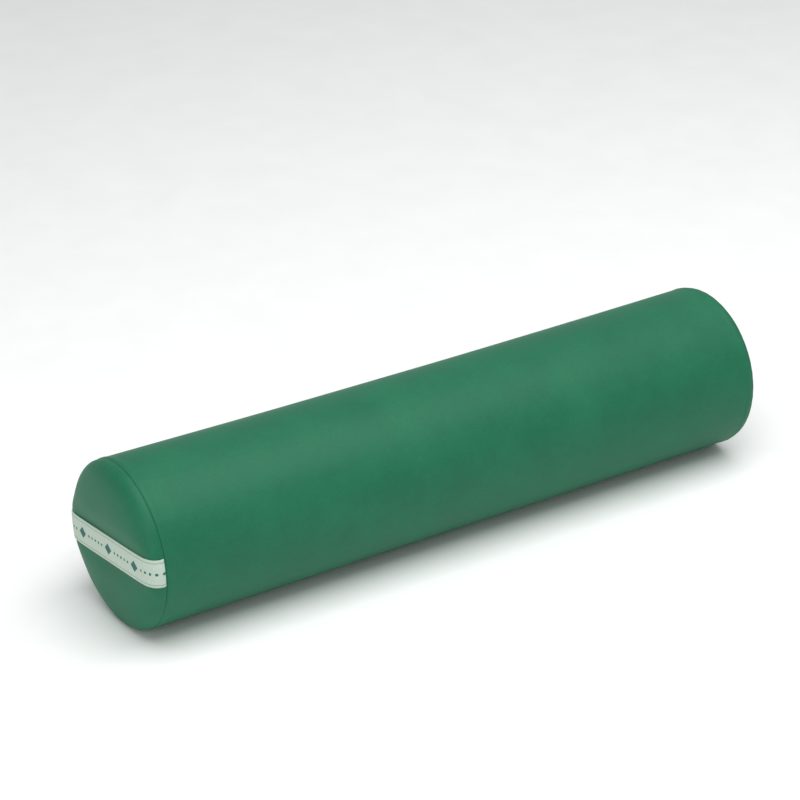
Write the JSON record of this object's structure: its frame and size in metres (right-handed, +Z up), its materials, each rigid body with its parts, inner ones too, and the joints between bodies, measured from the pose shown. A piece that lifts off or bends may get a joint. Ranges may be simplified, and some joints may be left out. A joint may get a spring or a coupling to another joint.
{
  "type": "bolster pillow",
  "caption": "Full-round massage bolster: a foam roll in a zipped leatherette cover with crowned ends and a woven carry strap across one end.",
  "frame": {"origin": "centre of the flat that the bolster rests on, under the middle of its whole length", "axes": "+Z up; X along the roll, with the strap end at -X; the zip faces +Y and a little upwards"},
  "size_m": [0.6614, 0.1548, 0.1486],
  "materials": {
    "leatherette": "satin, fine grain",
    "foam": "open-cell foam, matt",
    "wadding": "polyester fibre, matt",
    "webbing": "woven tape with a small pattern",
    "thread": "bonded polyester thread",
    "zip_tape": "woven tape, matt",
    "nylon": "drawn nylon, satin",
    "nickel": "nickel plated, tumbled"
  },
  "bodies": {
    "bolster": {"barrel_panel": "leatherette", "strap_end_panel": "leatherette", "plain_end_panel": "leatherette", "zip_guard_flap": "leatherette", "foam_core": "foam", "wadding_wrap": "wadding", "strap_end_wadding_pad": "wadding", "plain_end_wadding_pad": "wadding", "strap_end_seam_overlock": "thread", "plain_end_seam_overlock": "thread", "long_seam_binding_strap_side": "thread", "long_seam_binding_plain_side": "thread", "zip_topstitch": "thread", "zip_tape_upper": "zip_tape", "zip_tape_lower": "zip_tape", "zip_coil_upper": "nylon", "zip_coil_lower": "nylon", "zip_top_stop_upper": "nickel", "zip_top_stop_lower": "nickel", "zip_bottom_stop": "nickel"},
    "carry_strap": {"carry_strap": "webbing"},
    "zip_slider": {"zip_slider": "nickel"},
    "zip_pull": {"zip_pull": "nickel"}
  },
  "joints": [
    {"name": "strap_lift", "type": "slide", "parent": "bolster", "child": "carry_strap", "axis": [-1, 0, 0], "range_m": [0, 0.015], "stiffness_N_per_m": 250, "deforming": ["carry_strap"]},
    {"name": "zip_slide", "type": "slide", "parent": "bolster", "child": "zip_slider", "axis": [1, 0, 0], "range_m": [0, 0.484]},
    {"name": "pull_swing", "type": "hinge", "parent": "zip_slider", "child": "zip_pull", "pos_m": [-0.24125, 0.0722, 0.10347], "axis": [0, -0.3827, 0.9239], "range_deg": [0, 174]}
  ]
}
